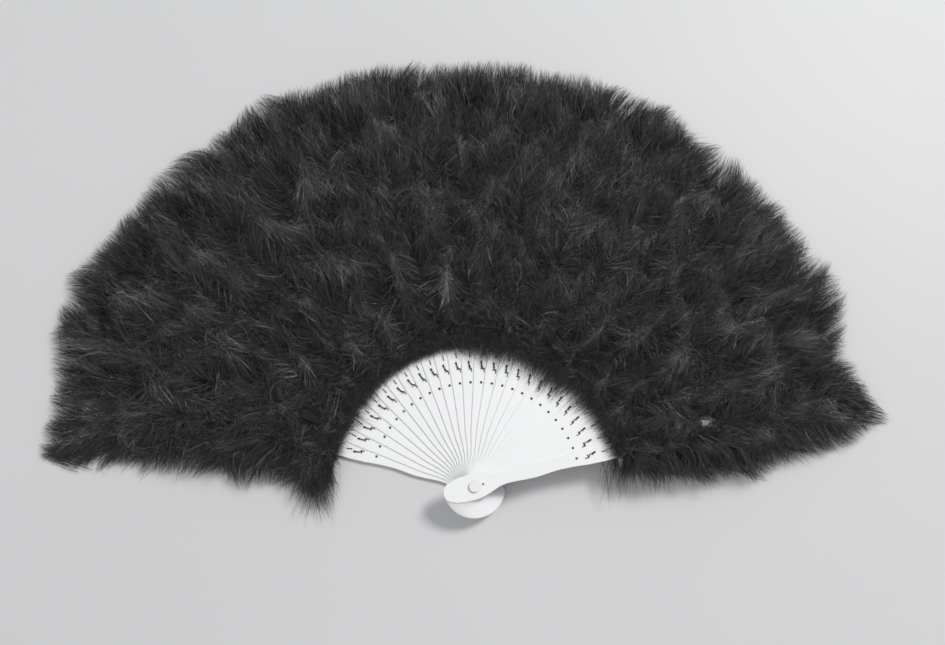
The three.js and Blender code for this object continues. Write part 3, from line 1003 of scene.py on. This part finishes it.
def make_stitch(leaf, material):
    """Black thread on a blade: a doubled bar, a step aside, two short ends, and an outer stitch."""
    rng = leaf.rng
    face = leaf.blade_high + THREAD_RADIUS * THREAD_LIFT_SHARE
    under = leaf.blade_low - THREAD_RADIUS * THREAD_LIFT_SHARE
    middle = lerp(*KNOT_MIDDLE, leaf.index / (LEAF_COUNT - 1))
    jitter = rng.uniform(-STITCH_JITTER, STITCH_JITTER, (4, 2))
    step = rng.uniform(*STITCH_STEP)
    top = np.array([0.0, middle]) + STITCH_TOP + jitter[0]
    turn = np.array([jitter[1, 0], middle]) + STITCH_TURN
    aside = np.array([turn[0] + step, middle + STITCH_ASIDE + jitter[1, 1]])
    tail = np.array([aside[0], middle]) + STITCH_TAIL + jitter[2]
    spur_end = np.array([turn[0], aside[1]]) + STITCH_SPUR[1] + jitter[3]
    outer_end = (rng.uniform(-OUTER_SLANT, OUTER_SLANT), THREAD_HOLES[1] + OUTER_STITCH)

    def on_blade(places, heights):
        return [(*place, face + height) for place, height in zip(places, heights)]

    bar, outer = ([(0.0, hole, under), (0.0, hole, face)] for hole in THREAD_HOLES)
    bar += on_blade((top, (top + turn) / 2, turn, aside), BAR_HEIGHTS)
    knot = on_blade((top + STITCH_KNOT[0], top, top + STITCH_KNOT[1]), KNOT_HEIGHTS)
    spur = on_blade((aside, aside + STITCH_SPUR[0], spur_end), SPUR_HEIGHTS)
    outer += on_blade((outer_end,), (OUTER_HEIGHT,))
    thin = on_blade((aside, tail), TAIL_HEIGHTS)
    curves = np.stack([thread_path(path) for path in (bar, knot, spur, outer, thin)])
    radii = np.full(curves.shape[:2], THREAD_RADIUS)
    radii[1] = THREAD_KNOT_RADIUS
    radii[-1] = THREAD_TAIL_RADIUS
    shell = Shell()
    shell.add_strands(curves, radii, np.linspace(*THREAD_TONES, len(curves)), sides=THREAD_SIDES)
    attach(shell.to_object(f"stitch_{leaf.stem}", leaf, [material]), leaf.body)


# A dark disc of painted shade near the bottom of the gate recess
def make_gate_shade(leaf, material):
    turn = np.arange(GATE_SIDES) * FULL_TURN / GATE_SIDES
    x = GATE_RADIUS * np.cos(turn)
    y = GATE_DISTANCE + GATE_RADIUS * np.sin(turn)
    loops = [np.stack([x, y, np.full(GATE_SIDES, leaf.blade_high - depth)], -1) for depth in GATE_DEPTH]
    shell = Shell()
    shell.add_skin(np.stack(loops))
    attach(shell.to_object("gate_recess_shade", leaf, [material]), leaf.body)


def put(node, **values):
    """Sets a node's sockets, whose names have _ for a space here, or else its properties."""
    for name, value in values.items():
        socket = name.replace("_", " ")
        if socket in node.inputs:
            node.inputs[socket].default_value = value
        else:
            setattr(node, name, value)
    return node


class Nodes:
    """Short calls that build a material's or a world's nodes round its own shader."""

    def __init__(self, owner):
        owner.use_nodes = True
        self.owner = owner
        self.tree = owner.node_tree
        self.output = next(node for node in self.tree.nodes if node.type.startswith("OUTPUT"))
        self.shader = self.output.inputs["Surface"].links[0].from_node

    def add(self, kind, **values):
        return put(self.tree.nodes.new(kind), **values)

    def link(self, output, target):
        self.tree.links.new(output, target)

    def shade(self, socket, output):
        self.link(output, self.shader.inputs[socket])

    def join(self, node, *outputs):
        """Links outputs to a node's first sockets, and gives its own output."""
        for target, output in zip(node.inputs, outputs):
            self.link(output, target)
        return node.outputs[0]

    def ramp(self, value, *stops):
        node = self.add("ShaderNodeValToRGB")
        elements = node.color_ramp.elements
        while len(elements) < len(stops):
            elements.new(0.5)
        for element, (position, colour) in zip(elements, stops):
            element.position = position
            element.color = (*colour, 1.0)
        return self.join(node, value)

    def pattern(self, kind, **values):
        place = self.add("ShaderNodeTexCoord")
        node = self.add(kind, **values)
        self.link(place.outputs["Object"], node.inputs["Vector"])
        return node.outputs["Fac"]

    def noise(self, scale, detail=3.0):
        return self.pattern("ShaderNodeTexNoise", Scale=scale, Detail=detail)

    def remap(self, value, low, high, start=0.0, end=1.0, **options):
        node = self.add(
            "ShaderNodeMapRange", From_Min=start, From_Max=end, To_Min=low, To_Max=high, **options)
        return self.join(node, value)

    def product(self, first, second):
        node = self.add("ShaderNodeMix", data_type="RGBA", blend_type="MULTIPLY", Factor=1.0)
        self.link(first, node.inputs[6])
        self.link(second, node.inputs[7])
        return node.outputs[2]

    def math(self, operation, first, second):
        return self.join(self.add("ShaderNodeMath", operation=operation), first, second)

    def background_rays(self):
        """One for the rays that show the background: from the camera, reflected or let through."""
        rays = self.add("ShaderNodeLightPath").outputs
        reflected = self.math("MAXIMUM", rays["Is Camera Ray"], rays["Is Glossy Ray"])
        return self.math("MAXIMUM", reflected, rays["Is Transmission Ray"])

    def show_instead(self, other, share):
        """Shows another shader instead of the first one, as far as a share goes."""
        mix = self.add("ShaderNodeMixShader")
        shown = self.join(mix, share, self.shader.outputs[0], other.outputs[0])
        self.link(shown, self.output.inputs["Surface"])


def grey(value, warmth=0.0):
    return (value * (1 + warmth), value, value * (1 - warmth))


def marabou_material(name, shine, sheen):
    """Black that is lighter by a strand's own tone, with painted shade toward its root and painted
    glints and shade along it.
    """
    nodes = Nodes(bpy.data.materials.new(name))
    place = nodes.add("ShaderNodeUVMap", uv_map=UV_MAP).outputs["UV"]
    parts = nodes.add("ShaderNodeSeparateXYZ")
    nodes.join(parts, place)
    # The lightest tones of this ramp are painted glints, carried by the finer hairs
    tone = nodes.ramp(
        parts.outputs["X"],
        (0.00, grey(0.004)), (0.10, grey(0.008, -0.02)), (0.35, grey(0.022, -0.02)),
        (0.60, grey(0.056, -0.02)), (0.85, grey(0.200, -0.015)), (1.00, grey(0.460, -0.01)),
    )
    # Painted glints and shade: noise along each strand turns its tone lighter or darker
    pace = nodes.add("ShaderNodeVectorMath", operation="MULTIPLY")
    pace.inputs[1].default_value = GLINT_PACE
    glints = nodes.add("ShaderNodeTexNoise", Scale=1.0, Detail=1.0)
    glint = nodes.join(glints, nodes.join(pace, place))
    tone = nodes.product(tone, nodes.remap(glint, *GLINT_RANGE, *GLINT_NOISE))
    # Painted shade: the strands darken toward their roots, deep in the fluff
    along = nodes.ramp(parts.outputs["Y"], (0.0, grey(0.55)), (0.5, grey(0.85)), (1.0, grey(1.0)))
    nodes.shade("Base Color", nodes.product(tone, along))
    nodes.shade("Roughness", nodes.remap(parts.outputs["Y"], low=0.72, high=0.5))
    put(nodes.shader, Sheen_Weight=sheen, Sheen_Roughness=0.45, Specular_IOR_Level=shine)
    put(nodes.shader, Sheen_Tint=(0.68, 0.69, 0.72, 1.0))
    return nodes.owner


def plastic_material(name):
    """Plastic with slow changes of colour and gloss, and a fine grain."""
    dark, light, warmth, low, high, grain = PLASTICS[name]
    nodes = Nodes(bpy.data.materials.new(name))
    stops = (0.3, grey(dark, warmth)), (0.7, grey(light, warmth))
    nodes.shade("Base Color", nodes.ramp(nodes.noise(scale=9.0), *stops))
    nodes.shade("Roughness", nodes.remap(nodes.noise(scale=60.0), low, high))
    bump = nodes.add("ShaderNodeBump", Strength=0.12, Distance=0.0004)
    nodes.link(nodes.noise(grain, detail=4.0), bump.inputs["Height"])
    nodes.shade("Normal", bump.outputs["Normal"])
    put(nodes.shader, Specular_IOR_Level=0.45)
    return nodes.owner


def thread_material():
    nodes = Nodes(bpy.data.materials.new("binding_thread"))
    twist = nodes.pattern("ShaderNodeTexWave", Scale=900.0, Distortion=1.5)
    nodes.shade("Base Color", nodes.ramp(twist, (0.0, grey(0.006)), (1.0, grey(0.03))))
    nodes.shade("Roughness", nodes.remap(twist, low=0.85, high=0.65))
    put(nodes.shader, Specular_IOR_Level=0.3, Sheen_Weight=0.1)
    return nodes.owner


def floor_material():
    """Pale floor that takes the object's shadow, and turns into the backdrop far from it."""
    nodes = Nodes(bpy.data.materials.new("pale_floor"))
    colour = nodes.ramp(nodes.noise(scale=1.3), (0.3, (0.62, 0.62, 0.625)), (0.7, (0.65, 0.65, 0.655)))
    nodes.shade("Base Color", colour)
    nodes.shade("Roughness", nodes.remap(nodes.noise(scale=3.0), low=0.5, high=0.6))
    put(nodes.shader, Specular_IOR_Level=0.3)
    place = nodes.add("ShaderNodeTexCoord")
    distance = nodes.add("ShaderNodeVectorMath", operation="LENGTH")
    nodes.link(place.outputs["Object"], distance.inputs[0])
    far = nodes.remap(
        distance.outputs["Value"], 0.0, 1.0, *FLOOR_FADE, interpolation_type="SMOOTHSTEP")
    seen = nodes.math("MULTIPLY", far, nodes.background_rays())
    nodes.show_instead(nodes.add("ShaderNodeEmission", Color=BACKDROP), seen)
    return nodes.owner


def make_floor():
    signs = ((-1, -1), (1, -1), (1, 1), (-1, 1))
    corners = [(x * FLOOR_HALF, y * FLOOR_HALF, -FLOOR_DEPTH) for x, y in signs]
    mesh = bpy.data.meshes.new("floor")
    mesh.from_pydata(corners, [], [(0, 1, 2, 3)])
    mesh.materials.append(floor_material())
    new_object("floor", mesh)


def make_world():
    """Even light on the object, and a pale backdrop for what the camera and reflections see."""
    nodes = Nodes(bpy.data.worlds.new("studio"))
    put(nodes.shader, Color=WORLD_COLOUR, Strength=WORLD_LIGHT)
    backdrop = nodes.add("ShaderNodeBackground", Color=BACKDROP)
    nodes.show_instead(backdrop, nodes.background_rays())
    bpy.context.scene.world = nodes.owner


def make_lamps():
    for name, place, size, power in LAMPS:
        data = bpy.data.lights.new(name, "AREA")
        data.size = size
        data.energy = power
        lamp = new_object(name, data)
        lamp.location = place
        lamp.rotation_euler = (LAMP_AIM - Vector(place)).to_track_quat("-Z", "Y").to_euler()
        lamp.visible_camera = False


def make_camera():
    """The photograph's camera, found from the lens and the pixel that lies straight below it."""
    x, y = ((pixel - size / 2) / FOCAL_PIXELS for pixel, size in zip(NADIR_PIXEL, PHOTO_SIZE))
    straight_down = Vector((x, y, 1.0)).normalized()
    right = Vector((1.0, 0.0, 0.0))
    right = (right - straight_down * straight_down.x).normalized()
    picture_up = -straight_down.cross(right)
    turn = Matrix((right, picture_up, -straight_down)) @ Matrix.Diagonal((1, -1, -1))
    turn = Matrix.Rotation(math.radians(FAN_TURN_DEG), 3, "Z") @ turn
    data = bpy.data.cameras.new("camera")
    data.lens = FOCAL_PIXELS / PHOTO_SIZE[0] * data.sensor_width
    data.clip_end = CAMERA_SIGHT
    camera = new_object("camera", data)
    camera.matrix_world = Matrix.Translation(Vector(CAMERA_PLACE) * MM) @ turn.to_4x4()
    bpy.context.scene.camera = camera


def dress_solids():
    """Gives every solid of the frame that stays in view its plastic."""
    white = plastic_material("moulded_white_plastic")
    bright = plastic_material("turned_white_plastic")
    for name, node in frame["nodes"].items():
        material = white if name.startswith(("stave", "guard")) else bright
        for slot in node.material_slots:
            slot.material = material


make_camera()
make_floor()
make_world()
make_lamps()
dress_solids()
marabou = [
    marabou_material("marabou_barbs", shine=0.4, sheen=0.08),
    marabou_material("marabou_down", shine=0.1, sheen=0.0),
]
thread = thread_material()
leaves = [Leaf(index) for index in range(LEAF_COUNT)]
for leaf in leaves:
    make_fluff(leaf, marabou)
    make_stitch(leaf, thread)
make_gate_shade(leaves[-1], plastic_material("recess_painted_shade"))

bpy.context.scene.view_settings.view_transform = "Standard"

bpy.context.view_layer.update()
